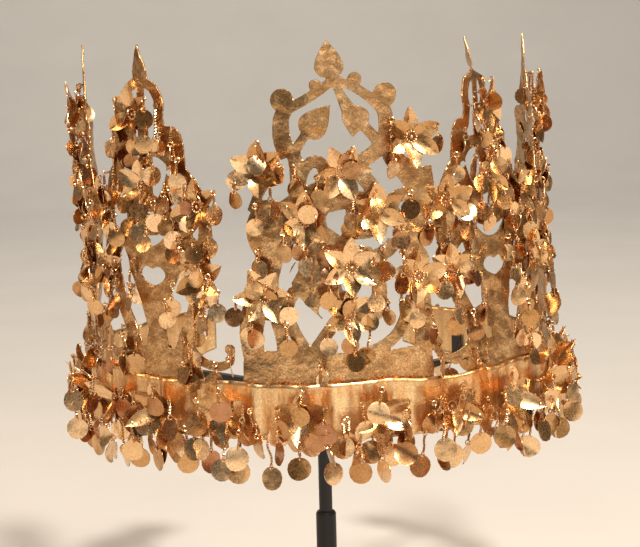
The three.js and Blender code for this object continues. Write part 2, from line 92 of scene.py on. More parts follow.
class CrownSizes(bpy.types.PropertyGroup):
    band_radius: length("Headband radius", "To the headband's outer face", 85)
    band_length: length("Headband length", "Along its outer face, end to end", 450)
    band_height: length("Headband height", "Without the waves of its top edge", 19)
    sheet: length("Sheet", "Thickness of the gold sheet", 0.6)
    tree_gap: length("Tree gap", "Between a tree and the headband", 0.45)
    tree_pitch: length("Tree pitch", "From tree to tree along the headband", 66)
    petal_length: length("Petal length", "From a rosette's middle to a petal's tip", 10.2)
    petal_width: length("Petal width", "At a petal's widest", 5.5)
    band_disc: length("Headband spangle", "Diameter of its discs", 7.8)
    tree_disc: length("Tree spangle", "Diameter of its discs", 6.3)
    foil: length("Foil", "Thickness of petals and discs", 0.22)
    wire: length("Wire", "Width of the twisted gold wire", 0.6)
    granule: length("Granule", "Diameter of a rosette's gold beads", 0.85)


class CrownFinish(bpy.types.PropertyGroup):
    pale: tint("Pale gold", "Burnished gold", "F2CA98")
    deep: tint("Deep gold", "Unburnished gold", "B98852")
    bright: tint("Bright gold", "Rubbed headband", "FFE4B0")
    orange: tint("Streaks", "Redder streaks of the headband", "DE9040")
    tarnish: tint("Tarnish", "Brown in scratches", "70481F")
    rosy: tint("Rosy gold", "Discs with more copper", "AC7058")
    glossy: tint("Glossy gold", "Best rubbed discs", "FFDCB0")
    stand: tint("Stand", "Black paint", "121213")
    dust: tint("Dust", "Duller paint of the stand", "232224")
    floor: tint("Floor", "Pale studio floor", "D9D6D0")
    mottle: tint("Mottle", "Darker spots of the floor", "D4D1CB")


# The crown's geometry.

BROAD_DENT, BROAD_DENT_LENGTH = 1.3 * MM, 15 * MM
SMALL_DENT, SMALL_DENT_LENGTH = 0.42 * MM, 4.5 * MM
DENT_START, DENT_GROWTH = 1 * MM, 12 * MM  # a tree's foot is held straight by the headband
TURN_START, TURN_GROWTH = 52 * MM, 36 * MM  # an upper half is turned over this part of its height
LEAF_FOOT, TWIST_GROWTH = 96.5 * MM, 5 * MM  # a topmost leaf is twisted above this height


class Seat(NamedTuple):
    """Where a flat pattern stands: its back face's radius, its turn from the front, its height and its bends."""

    radius: float
    angle: float
    bottom: float
    lean: float = 0.0
    sway: float = 0.0
    seed: float = 0.0
    dents: float = 1.0
    turned: float = 0.0
    twist: float = 0.0
    tip: float = 0.0


def sizes():
    return bpy.context.scene.crown_sizes


def grown(value, start, length):
    """A share that is 0 up to start and grows evenly to 1 over the length."""
    return min(max((value - start) / length, 0.0), 1.0)


def dent(u, v, seat):
    """How far the hand-worked sheet bulges outwards at a point of its pattern."""
    broad = noise.noise(Vector((u / BROAD_DENT_LENGTH, v / BROAD_DENT_LENGTH, seat.seed)))
    small = noise.noise(Vector((u / SMALL_DENT_LENGTH, v / SMALL_DENT_LENGTH, seat.seed + 9)))
    return seat.dents * grown(v, DENT_START, DENT_GROWTH) * (BROAD_DENT * broad + SMALL_DENT * small)


def on_crown(u, v, w, seat):
    """Places a point of a flat pattern: u along the headband, v up, w outwards."""
    top = grown(v, LEAF_FOOT, TWIST_GROWTH)
    spin = seat.turned * grown(v, TURN_START, TURN_GROWTH) + seat.twist * top * top * (3 - 2 * top)
    u, w = u * math.cos(spin) - w * math.sin(spin), w * math.cos(spin) + u * math.sin(spin)
    u += seat.tip * top * (v - LEAF_FOOT)
    rise = max(v, 0.0)
    turn = seat.angle + (u + rise * math.tan(seat.sway)) / seat.radius
    out = seat.radius + w - rise * math.tan(seat.lean) + dent(u, v, seat)
    return Vector((out * math.sin(turn), -out * math.cos(turn), seat.bottom + v))


def standing(u, v, w, seat):
    """A matrix that stands a small ornament on the sheet, with X along the headband, Y up and Z outwards."""
    step = 1 * MM
    origin = on_crown(u, v, w, seat)
    right = (on_crown(u + step, v, w, seat) - on_crown(u - step, v, w, seat)).normalized()
    up = on_crown(u, v + step, w, seat) - on_crown(u, v - step, w, seat)
    out = right.cross(up).normalized()
    up = out.cross(right)
    return Matrix.Translation(origin) @ Matrix((right, up, out)).transposed().to_4x4()


def band_seat():
    own = sizes()
    return Seat(own.band_radius - own.sheet, 0.0, band_low.z, seed=3.0, dents=0.0)


# Each tree: its place along the headband from the front, then in degrees how far it leans inwards and sways
# sideways and how far its upper half is turned and its topmost leaf twisted, then the leaf's slant and a seed.
TREES = {
    "front_tree": (0, -0.5, -0.8, 0, 0, 0, 11),
    "left_front_tree": (-1, -1, -1.7, 0, 8, 0, 12),
    "right_front_tree": (1, 3.5, -5, -17, -35, -0.16, 13),
    "left_rear_tree": (-2, 0, 0, 0, 0, -0.1, 14),
    "right_rear_tree": (2, 4, 0.5, 0, 0, 0, 15),
}


def tree_seat(name):
    own = sizes()
    place, lean, sway, turned, twist, tip, seed = TREES[name]
    radius = own.band_radius - own.sheet - own.tree_gap - own.sheet
    bottom = band_low.z + own.band_height
    place *= own.tree_pitch / own.band_radius
    lean, sway, turned, twist = (math.radians(a) for a in (lean, sway, turned, twist))
    return Seat(radius, place, bottom, lean, sway, seed, turned=turned, twist=twist, tip=tip)


# Flat shapes, in millimetres.


def smooth_point(points, share):
    """The point at a share of the way along a smooth line through the points."""
    last = len(points) - 1
    i = min(int(share * last), last - 1)
    t = share * last - i
    before, start, end, after = (points[min(max(i + k, 0), last)] for k in (-1, 0, 1, 2))
    return 0.5 * (
        2 * start
        + (end - before) * t
        + (2 * before - 5 * start + 4 * end - after) * t**2
        + (3 * start - before - 3 * end + after) * t**3
    )


def ribbon(bm, line, start_width, end_width=None, steps=14):
    """A strip of sheet along a smooth line."""
    end_width = start_width if end_width is None else end_width
    points = [Vector(p) for p in line]
    made = bmesh.ops.create_grid(bm, x_segments=1, y_segments=steps, size=0.5)
    for vert in made["verts"]:
        share = vert.co.y + 0.5
        middle = smooth_point(points, share)
        ahead = smooth_point(points, min(share + 0.01, 1)) - smooth_point(points, max(share - 0.01, 0))
        across = Vector((-ahead.y, ahead.x)).normalized()
        width = start_width + (end_width - start_width) * share
        place = middle - across * vert.co.x * width
        vert.co = (place.x, place.y, 0)


def spot(bm, x, y, half_width, half_height=None):
    """A round or oval patch of sheet."""
    half_height = half_width if half_height is None else half_height
    made = bmesh.ops.create_circle(bm, cap_ends=True, segments=36, radius=1)
    for vert in made["verts"]:
        vert.co = (x + vert.co.x * half_width, y + vert.co.y * half_height, 0)


def leaf(bm, base, tip, width):
    """A spade-shaped leaf, widest near its base."""
    base, tip = Vector(base), Vector(tip)
    along = tip - base
    across = Vector((-along.y, along.x)).normalized()
    made = bmesh.ops.create_circle(bm, cap_ends=True, segments=40, radius=1)
    for vert in made["verts"]:
        share = (1 - vert.co.x) / 2
        fullness = (share / 0.3) ** 0.48 * ((1 - share) / 0.7) ** 1.12
        side = math.copysign(1, vert.co.y) if abs(vert.co.y) > 1e-6 else 0
        place = base + along * share + across * side * fullness * width / 2
        vert.co = (place.x, place.y, 0)


def panel(bm, corners):
    """A patch of sheet with straight sides."""
    bm.faces.new([bm.verts.new((x, y, 0)) for x, y in corners])


def heart(bm, x, y, width, height):
    """A heart that stands on its point at x, y."""
    made = bmesh.ops.create_circle(bm, cap_ends=True, segments=28, radius=1)
    for vert in made["verts"]:
        turn = math.atan2(vert.co.x, vert.co.y)
        half = 0.5 * width * math.sin(turn) * abs(math.sin(turn)) ** 0.5
        rise = 0.55 + 0.45 * math.cos(turn) - 0.24 * math.exp(-((turn / 0.5) ** 2))
        vert.co = (x + half, y + height * rise, 0)


def crescent(bm, x, y, width, sag, thickness):
    """A sagging crescent with its horns at height y."""
    made = bmesh.ops.create_circle(bm, cap_ends=True, segments=32, radius=1)
    for vert in made["verts"]:
        share = vert.co.x
        drop = sag if vert.co.y < 0 else sag - thickness
        vert.co = (x + share * width / 2, y - drop * (1 - share**2), 0)


def mirrored(bm, draw):
    """Draws something and its mirror image about the pattern's middle line."""
    before = set(bm.verts)
    draw()
    fresh = [v for v in bm.verts if v not in before]
    edges, faces = ({each for v in fresh for each in getattr(v, kind)} for kind in ("link_edges", "link_faces"))
    geometry = fresh + list(edges) + list(faces)
    copied = bmesh.ops.duplicate(bm, geom=geometry)["geom"]
    bmesh.ops.scale(bm, vec=(-1, 1, 1), verts=[g for g in copied if isinstance(g, bmesh.types.BMVert)])


TONGUE = -6  # how far a tree reaches down behind the headband
LEAF_TOP = 110.7  # the height of a tree


def front_pattern(bm):
    """The front tree: a wide foot, ribs and a palmette, and two arms that meet under the topmost leaf."""
    foot = [(-31.8, TONGUE), (32.6, TONGUE), (32.6, 2), (31.8, 9), (27, 11), (12, 9.2), (-9, 10.4), (-31.4, 11)]
    panel(bm, foot)
    # Frames on the left and on the right.
    ribbon(bm, [(-27.6, 8), (-28.2, 16), (-26, 26), (-22.4, 36), (-20.4, 46)], 7.5, 9.5)
    spot(bm, -20.2, 49.5, 7.9, 10.8)
    ribbon(bm, [(-26, 56), (-23.6, 62), (-20, 67)], 3.4)
    ribbon(bm, [(28.6, 69), (29.6, 60), (27.4, 50), (25.6, 42), (27, 32), (29.4, 22), (28.6, 8)], 10, 6.2, 24)
    # Ribs that rise from the foot.
    ribbon(bm, [(-17.6, 9), (-18.4, 16), (-20.4, 24), (-21.4, 31)], 4)
    ribbon(bm, [(-9.1, 8.5), (-13.6, 16), (-16, 24), (-13, 31)], 4.2)
    ribbon(bm, [(-9.1, 8.5), (-3.4, 16), (0.6, 22), (3, 30)], 4.2)
    ribbon(bm, [(6, 8), (15.3, 11.5), (21, 17), (25, 27)], 4)
    ribbon(bm, [(1, 19.6), (7, 18.6), (13, 22), (14.5, 30), (12, 38)], 4.6)
    leaf(bm, (-6.6, 42), (-4.9, 20.7), 17.5)
    # The palmette in the middle.
    palm = [(-12, 44), (-7, 38.6), (3, 34), (12, 37.6), (12, 44), (6, 45), (-2, 51), (-3, 60), (-9, 60), (-13, 54)]
    panel(bm, palm)
    ribbon(bm, [(4, 42), (12, 40.6), (18.6, 44), (21, 51), (17, 57), (8, 59.6), (-3, 58)], 4.4, 5.6, 24)
    ribbon(bm, [(5, 48.6), (12, 49), (18, 52)], 4.4)
    ribbon(bm, [(0, 44), (5.6, 49), (6, 57)], 4.2)
    ribbon(bm, [(18, 58), (23, 60.6), (29, 60)], 4.6)
    ribbon(bm, [(20, 46), (25, 44)], 4)
    # The arch over it and the way up to the arms.
    ribbon(bm, [(-14, 55), (-11.4, 62), (-11, 70), (-12.4, 77)], 5, 4.6)
    ribbon(bm, [(-10.5, 60), (-9.6, 67), (-7, 71.6), (-3.4, 71.6), (-1.4, 68), (3.6, 66)], 3.4, 5)
    ribbon(bm, [(-18, 56), (-10, 61), (-3, 64.4), (4, 70)], 4.6)
    ribbon(bm, [(3, 70), (9, 67.6), (13.4, 62), (15, 56)], 5.2)
    ribbon(bm, [(3, 69), (11, 72.4), (17.6, 77.6)], 5)
    ribbon(bm, [(17.6, 79), (20, 72.6), (24.4, 68), (28.6, 63)], 5.6, 8)
    ribbon(bm, [(-13, 74), (-15.3, 79), (-15.3, 86), (-12.8, 90)], 6.6, 4.6)
    ribbon(bm, [(-13, 89), (-8, 91.6), (-3, 94.6), (1.4, 97.8)], 3.5, 3)
    ribbon(bm, [(15.6, 75), (18, 80), (17.8, 87), (15.4, 91)], 6, 4.6)
    ribbon(bm, [(15.6, 89.8), (12.2, 92.6), (8, 95.4), (2, 98.2)], 3.6, 2.8)
    for x, y, radius in ((-14.9, 91.8, 3.8), (17.9, 92.8, 4), (-4.2, 96.2, 2.1), (8.2, 98, 2.3), (1.4, 97.6, 2.1)):
        spot(bm, x, y, radius)
    # The hanging spike and the two inner leaves.
    ribbon(bm, [(1.8, 97), (6, 88.4)], 1.7, 4.8, 4)
    leaf(bm, (-8.2, 80.4), (0.4, 90.2), 9.4)
    ribbon(bm, [(-7.2, 81.8), (-12, 74.6)], 2.8, 3.6, 4)
    leaf(bm, (8.8, 89.6), (7, 79.4), 9.2)
    ribbon(bm, [(10.6, 83.4), (16, 77)], 3.2, 4, 4)
    leaf(bm, (0.6, 98.5), (-0.3, LEAF_TOP), 9.4)


def front_openings(bm):
    spot(bm, -3.2, 23.6, 2.7)
    ribbon(bm, [(-10.8, 41), (-12.6, 37.6), (-15.6, 32.8)], 1.6, 2.2, 8)
    spot(bm, 18.4, 48.4, 1.5, 2)


def side_pattern(bm):
    """A side tree: a pierced stem between two branches, and two raised lobes under the topmost leaf."""
    panel(bm, [(-18.6, TONGUE), (18.6, TONGUE), (18.6, 2), (-18.6, 2)])
    spot(bm, 0, 1.6, 18.6, 8.4)
    stem = [(5.4, 6), (4.3, 15), (7.4, 26), (12, 35), (14.6, 45), (12.6, 54), (8, 59.5), (3.2, 60), (2.6, 84)]
    panel(bm, stem + [(-x, y) for x, y in reversed(stem)])

    def half():
        ribbon(bm, [(8.6, 4), (12.6, 13), (17, 22), (20.8, 32), (20.4, 41), (12.6, 48)], 6.4, 6.4, 24)
        ribbon(bm, [(19.6, 38), (23, 48), (22, 58)], 6, 4.6)
        ribbon(bm, [(13, 14), (15, 9), (19.6, 5.8), (25, 4.8), (28.8, 6.6), (29.2, 10)], 4.4, 2.4, 20)
        spot(bm, 29, 10.6, 1.9)
        ribbon(bm, [(6, 57), (10.6, 62), (13.6, 70), (12.2, 79)], 5, 9)
        spot(bm, 12, 79.4, 4.5)
        ribbon(bm, [(14, 70), (19, 64), (21.4, 57)], 5.6)
        ribbon(bm, [(12, 72), (7, 75.4), (-0.5, 76)], 4.6, 4)
        ribbon(bm, [(0.6, 98.4), (5.4, 96.4), (8.2, 91), (7.6, 85), (10, 80)], 3.6, 4.6)

    mirrored(bm, half)
    ribbon(bm, [(0, 82), (0, 99)], 4.6, 2.6, 4)
    leaf(bm, (0, 97), (0, LEAF_TOP), 8)


def side_openings(bm):
    heart(bm, 0, 29.6, 12, 8.4)
    crescent(bm, 0, 50, 18.6, 6.2, 3.4)
    spot(bm, 0, 55.4, 3.1)
    for x, y in ((-11, 68.5), (11, 68.5), (-6.4, 65.2), (6.4, 65.2)):
        spot(bm, x, y, 1.5, 1.1)


# Rosettes: u and v in millimetres, the first petal's direction in degrees, and how far they stand off.
FRONT_ROSETTES = [
    (-8.8, 53.6, 24, 0),
    (13.7, 55.6, 30, 0),
    (2.6, 69.4, 0, 3),
    (-23, 70, 30, 0),
    (25.6, 79, 30, 0),
    (-23, 28.6, 0, 0),
    (5, 38, 30, 3),
    (26.7, 33.8, 20, 0),
    (3.8, 22, 30, 0),
]
SIDE_ROSETTES = [
    (0, 88, 30, 2),
    (0, 64, 30, 0),
    (-21.6, 57.6, 30, 0),
    (21.6, 57.6, 30, 0),
    (-21.4, 34, 30, 0),
    (21.4, 34, 30, 0),
]
BAND_ROSETTES = 18
BAND_ROSETTE_RISE = 8.6
PETALS = 6
GRANULES = 12


# Spangles that hang straight from a tree's sheet: how many, how far apart, and the circles of the pattern that they
# leave bare, as u, v and radius, all in millimetres.
FRONT_SPANGLES = (34, 6, [(0, 96, 22), (-5, 31, 8), (-21, 50, 7), (0, 4, 6), (20, 5, 14), (-20, 5, 14)])
SIDE_SPANGLES = (58, 4.6, [(0, 106, 9), (0, 12, 6), (0, 20, 7), (0, 30, 8), (0, 44, 8), (0, 52, 8), (0, 3, 12)])
COMMON = 0.86  # the share of them that have the common size, and the share that hang on a short wire
BAND_SPANGLES = 129


# Making and joining meshes.

VOXEL = 0.3  # the fineness of the cut sheets, in millimetres
KEPT_FACES = 0.66  # the share of their faces that their shape needs


def new_object(name, mesh, material, node=None):
    """Adds a finished piece that rides on the crown."""
    made = bpy.data.objects.new(name, mesh)
    bpy.context.scene.collection.objects.link(made)
    mesh.materials.clear()
    mesh.materials.append(material)
    for face in mesh.polygons:
        face.use_smooth = True
    mesh.set_sharp_from_angle(angle=math.radians(32))
    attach(made, "root")
    if node:
        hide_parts(node)
    return made


def flat_mesh(name, draw, below, above):
    """Draws flat shapes and gives them all the same thickness."""
    bm = bmesh.new()
    draw(bm)
    bmesh.ops.recalc_face_normals(bm, faces=bm.faces)
    flipped = [f for f in bm.faces if f.normal.z < 0]
    bmesh.ops.reverse_faces(bm, faces=flipped)
    bmesh.ops.translate(bm, vec=(0, 0, below), verts=bm.verts)
    original = list(bm.faces)
    raised = bmesh.ops.extrude_face_region(bm, geom=original, use_keep_orig=True)["geom"]
    tops = [g for g in raised if isinstance(g, bmesh.types.BMVert)]
    bmesh.ops.translate(bm, vec=(0, 0, above - below), verts=tops)
    bmesh.ops.reverse_faces(bm, faces=original)
    mesh = bpy.data.meshes.new(name)
    bm.to_mesh(mesh)
    bm.free()
    return mesh


def cut_sheet(name, pattern, openings):
    """Cuts a flat pattern from sheet, in millimetres, with its edges a little rounded as by a burnisher."""
    thickness = sizes().sheet / MM
    sheet = bpy.data.objects.new(name, flat_mesh(name, pattern, 0, thickness))
    punch = bpy.data.objects.new(f"{name}_punch", flat_mesh(f"{name}_punch", openings, -thickness, 2 * thickness))
    for thing in (sheet, punch):
        bpy.context.scene.collection.objects.link(thing)
    remesh = sheet.modifiers.new("One sheet", "REMESH")
    remesh.mode = "VOXEL"
    remesh.voxel_size = VOXEL
    fewer = sheet.modifiers.new("Fewer faces", "DECIMATE")
    fewer.ratio = KEPT_FACES
    cut = sheet.modifiers.new("Openings", "BOOLEAN")
    cut.operation = "DIFFERENCE"
    cut.solver = "EXACT"
    cut.object = punch
    burnish = sheet.modifiers.new("Burnished edges", "SMOOTH")
    burnish.factor = 0.5
    burnish.iterations = 3
    evaluated = sheet.evaluated_get(bpy.context.evaluated_depsgraph_get())
    mesh = bpy.data.meshes.new_from_object(evaluated)
    mesh.name = f"{name}_flat"
    for thing in (sheet, punch):
        spare = thing.data
        bpy.data.objects.remove(thing)
        bpy.data.meshes.remove(spare)
    return mesh


def template(name, build):
    """A small mesh that is made once and copied many times."""
    found = bpy.data.meshes.get(name)
    if not found:
        bm = bmesh.new()
        build(bm)
        bmesh.ops.recalc_face_normals(bm, faces=bm.faces)
        found = bpy.data.meshes.new(name)
        bm.to_mesh(found)
        bm.free()
    return found


def put(bm, pattern, tone, place):
    """Copies a template into the mesh. place is a matrix, or a function that turns a point into its place."""
    layer = bm.verts.layers.float["tone"]
    start = len(bm.verts)
    bm.from_mesh(pattern)
    bm.verts.ensure_lookup_table()
    for vert in bm.verts[start:]:
        vert.co = place @ vert.co if isinstance(place, Matrix) else place(vert.co)
        vert[layer] = tone


def flat_petal(bm):
    """A petal before it is bent: X across from -1 to 1, Y from 0 at its root to 1 at its tip, Z its thickness."""
    made = bmesh.ops.create_grid(bm, x_segments=4, y_segments=6, size=1)
    for vert in made["verts"]:
        vert.co.y = (vert.co.y + 1) / 2
    raised = bmesh.ops.extrude_face_region(bm, geom=list(bm.faces), use_keep_orig=True)["geom"]
    bmesh.ops.translate(bm, vec=(0, 0, 1), verts=[g for g in raised if isinstance(g, bmesh.types.BMVert)])


def granule(bm):
    bmesh.ops.create_icosphere(bm, subdivisions=1, radius=0.5)


def collar(bm):
    bmesh.ops.create_cone(bm, cap_ends=True, segments=16, radius1=1.0, radius2=0.88, depth=1)


def loop(bm):
    """A loop of radius 1 in the XZ plane, of wire 0.6 thick."""
    bead = bmesh.ops.create_circle(bm, segments=5, radius=0.3)["verts"]
    bmesh.ops.translate(bm, vec=(1, 0, 0), verts=bead)
    bmesh.ops.rotate(bm, cent=(1, 0, 0), matrix=Matrix.Rotation(math.pi / 2, 3, "X"), verts=bead)
    bmesh.ops.rotate(bm, cent=(0, 0, 0), matrix=Matrix.Rotation(math.pi / 2, 3, "X"), verts=bead)
    ring = bead + list(bm.edges)
    bmesh.ops.spin(bm, geom=ring, cent=(0, 0, 0), axis=(0, 1, 0), angle=2 * math.pi, steps=10, use_merge=True)


def twisted(bm, half_turns):
    """Two wires twisted together, of width 1 and length 1 along Z."""
    steps = 2 * half_turns
    section = bmesh.ops.create_circle(bm, segments=4, radius=0.5)["verts"]
    bmesh.ops.scale(bm, vec=(1, 0.5, 1), verts=section)
    screw = {"cent": (0, 0, 0), "axis": (0, 0, 1), "dvec": (0, 0, 1 / steps), "angle": half_turns * math.pi}
    bmesh.ops.spin(bm, geom=section + list(bm.edges), steps=steps, **screw)
    bmesh.ops.holes_fill(bm, edges=[e for e in bm.edges if e.is_boundary], sides=4)


def flat_disc(bm):
    """A disc of diameter 1 in the XZ plane that hangs from near its top edge."""
    bmesh.ops.create_circle(bm, cap_ends=True, segments=14, radius=0.5)
    bmesh.ops.inset_region(bm, faces=list(bm.faces), thickness=0.22)
    bmesh.ops.poke(bm, faces=[f for f in bm.faces if len(f.verts) > 4])
    bmesh.ops.rotate(bm, cent=(0, 0, 0), matrix=Matrix.Rotation(math.pi / 2, 3, "X"), verts=bm.verts)
    bmesh.ops.solidify(bm, geom=list(bm.faces), thickness=0.03)
    bmesh.ops.translate(bm, vec=(0, 0, -0.42), verts=bm.verts)


SHORT_WIRE = 4 * MM
SHORT_HALF_TURNS, LONG_HALF_TURNS = 4, 9


def wire(bm, tone, top, bottom, width, bow):
    """Two wires twisted together that run from top to bottom."""
    half_turns = SHORT_HALF_TURNS if (bottom - top).length < SHORT_WIRE else LONG_HALF_TURNS
    pattern = template(f"twisted_{half_turns}", lambda made: twisted(made, half_turns))
    put(bm, pattern, tone, line_up(top, bottom, width, bow))


def petal(bm, tone, matrix, length, width, bend, curl, twist):
    """One pointed petal of foil with a soft crease. It points along X and bends up towards Z."""
    own = sizes()
    root = 1.0 * MM

    def shaped(point):
        side, share = point.x, point.y
        fullness = math.sin(math.pi * (0.1 + 0.9 * share) ** 0.92) ** 0.8 if share < 0.999 else 0.03
        half = width / 2 * fullness
        lift = bend * share**1.6 + curl * math.sin(math.pi * share)
        cup = 0.2 * width * abs(side) ** 1.3 * math.sin(math.pi * share)
        roll = twist * share * side * half
        height = lift + cup + roll + point.z * own.foil
        return matrix @ Vector((root + share * (length - root), side * half, height))

    put(bm, template("flat_petal", flat_petal), tone, shaped)


def line_up(top, bottom, width, bow=0.0):
    """Lays a template's Z from 0 to 1 along the way from top to bottom, bowed like hand-bent wire."""
    way = bottom - top
    turned = way.to_track_quat("Z", "Y").to_matrix().to_4x4()
    laid = Matrix.Translation(top) @ turned @ Matrix.Diagonal((width, width, way.length, 1))

    def bent(point):
        aside = bow * math.sin(2 * math.pi * point.z) * way.length / width
        return laid @ Vector((point.x + aside, point.y, point.z))

    return bent


def spangle(bm, rng, hook, diameter, drop, pointed=False):
    """A disc or a pointed drop on a twisted wire that hangs from hook, swung a little and turned any way."""
    own = sizes()
    # The wire and its loops get a pale tone: partly burnished wire, partly a painted highlight that makes the whole
    # wire paler.
    pale_wire_tone_and_highlight = rng.uniform(0.6, 0.9)
    swing = Vector((rng.uniform(-0.16, 0.16), rng.uniform(-0.16, 0.16), -1)).normalized()
    eye = own.wire * 1.4
    end = hook + swing * drop
    yaw = rng.gauss(0, 0.7)
    facing = Matrix.Rotation(math.atan2(hook.x, -hook.y) + yaw, 4, "Z")
    grow = Matrix.Scale(eye, 4)
    put(bm, template("loop", loop), pale_wire_tone_and_highlight, Matrix.Translation(hook) @ facing @ grow)
    wire(bm, pale_wire_tone_and_highlight, hook + swing * eye, end - swing * eye, own.wire * 2, rng.uniform(-0.07, 0.07))
    across = facing @ Matrix.Rotation(math.pi / 2, 4, "Z")
    put(bm, template("loop", loop), pale_wire_tone_and_highlight, Matrix.Translation(end) @ across @ grow)
    tilt = Matrix.Rotation(rng.uniform(-0.3, 0.3), 4, "X") @ Matrix.Rotation(rng.uniform(-0.2, 0.2), 4, "Y")
    hang = Matrix.Translation(end) @ facing @ tilt @ Matrix.Translation((0, 0, -eye * 0.6))
    if pointed:
        down = hang @ Matrix.Rotation(math.pi / 2, 4, "Y")
        petal(bm, rng.random(), down, diameter * 1.35, diameter * 0.8, 0.6 * MM, 0.4 * MM, 0)
    else:
        fold, sag = rng.uniform(0, math.pi), rng.gauss(0, 0.1)
        seed = rng.uniform(0, 99)

        def bent(point):
            across = point.x * math.cos(fold) + (point.z + 0.42) * math.sin(fold)
            crumple = 0.07 * noise.noise(Vector((point.x * 2.4, point.z * 2.4, seed)))
            return hang @ (diameter * Vector((point.x, point.y + sag * (2 * across) ** 2 + crumple, point.z)))

        put(bm, template("flat_disc", flat_disc), rng.random(), bent)


class RosetteStyle(NamedTuple):
    """A petal's length, the least and the most that its tip stands off, and its spangle's diameter and drop."""

    reach: float
    bends: tuple
    diameter: float
    drop: float


PLATE_RISE = 0.9  # from the sheet to a rosette's plate, in millimetres
LEAST_HANGING_BEND = 2.4 * MM  # a petal that carries a spangle is bent out at least this far


def rosette(bm, rng, matrix, turn, lift, hanging, style):
    """A six-petalled rosette with its beaded middle, and spangles on the petals whose numbers are in hanging."""
    own = sizes()
    plate = (PLATE_RISE + lift) * MM
    for i in range(PETALS):
        length = style.reach * rng.uniform(0.9, 1.05)
        direction = math.radians(turn + 360 * i / PETALS + rng.uniform(-7, 7))
        bend = rng.uniform(*style.bends) * MM
        if i in hanging:
            bend = max(bend, LEAST_HANGING_BEND)
        layer = Matrix.Translation((0, 0, plate + 0.12 * MM * (i % 2)))
        place = matrix @ layer @ Matrix.Rotation(direction, 4, "Z")
        curl = rng.uniform(-0.2, 0.8) * MM
        width = own.petal_width * rng.uniform(0.95, 1.15)
        petal(bm, 0.2 + 0.6 * rng.random(), place, length, width, bend, curl, rng.uniform(-0.4, 0.4))
        if i in hanging:
            hook = place @ Vector((length - 1.1 * MM, 0, bend * 0.84))
            spangle(bm, rng, hook, style.diameter * rng.uniform(0.94, 1.06), style.drop * rng.uniform(0.7, 1.25))
    ring = 1.75 * MM
    bead = template("granule", granule)
    for i in range(GRANULES):
        turned = 2 * math.pi * i / GRANULES
        place = Matrix.Translation((ring * math.cos(turned), ring * math.sin(turned), plate + 0.85 * MM))
        put(bm, bead, rng.uniform(0.5, 0.9), matrix @ place @ Matrix.Scale(own.granule, 4))
    put(bm, bead, 0.8, matrix @ Matrix.Translation((0, 0, plate + 0.8 * MM)) @ Matrix.Scale(own.granule * 1.5, 4))
    # A low collar under the ring of beads, given a dark tone (0.12): painted shade that shows between the granules
    # as the dark gaps among them.
    painted_shade_collar = Matrix.Translation((0, 0, plate + 0.4 * MM)) @ Matrix.Diagonal((2.2 * MM, 2.2 * MM, 0.5 * MM, 1))
    put(bm, template("collar", collar), 0.12, matrix @ painted_shade_collar)
    stalk = Matrix.Translation((0, 0, plate / 2)) @ Matrix.Diagonal((0.5 * MM, 0.5 * MM, plate + 0.6 * MM, 1))
    put(bm, template("collar", collar), 0.4, matrix @ stalk)


def start_mesh():
    bm = bmesh.new()
    bm.verts.layers.float.new("tone")
    return bm


def finish_mesh(bm, name):
    mesh = bpy.data.meshes.new(name)
    bm.to_mesh(mesh)
    bm.free()
    return mesh


# Materials.


def linear(code):
    """Turns an sRGB hex colour to linear, with full alpha."""
    parts = [int(code[i : i + 2], 16) / 255 for i in (0, 2, 4)]
    return [p / 12.92 if p <= 0.04045 else ((p + 0.055) / 1.055) ** 2.4 for p in parts] + [1.0]


def add(tree, kind, settings=None, links=None):
    """Adds a shader node, sets its values, sockets and colour stops, and links its inputs."""
    node = tree.nodes.new(kind)
    for name, value in (settings or {}).items():
        if name == "stops":
            for i, (position, colour) in enumerate(value):
                stop = node.color_ramp.elements[i] if i < 2 else node.color_ramp.elements.new(position)
                stop.position, stop.color = position, colour
        elif isinstance(name, int) or name in node.inputs:
            node.inputs[name].default_value = value
        else:
            setattr(node, name, value)
    for name, source in (links or {}).items():
        tree.links.new(source, node.inputs[name])
    return node


def start_material(name):
    material = bpy.data.materials.new(name)
    material.use_nodes = True
    tree = material.node_tree
    tree.nodes.clear()
    return material, tree


def dressed(material, tree, settings, links):
    """Ends a material with its shader."""
    shader = add(tree, "ShaderNodeBsdfPrincipled", settings, links)
    add(tree, "ShaderNodeOutputMaterial", links={"Surface": shader.outputs["BSDF"]})
    return material


BLACK, WHITE = [0.0, 0.0, 0.0, 1.0], [1.0, 1.0, 1.0, 1.0]


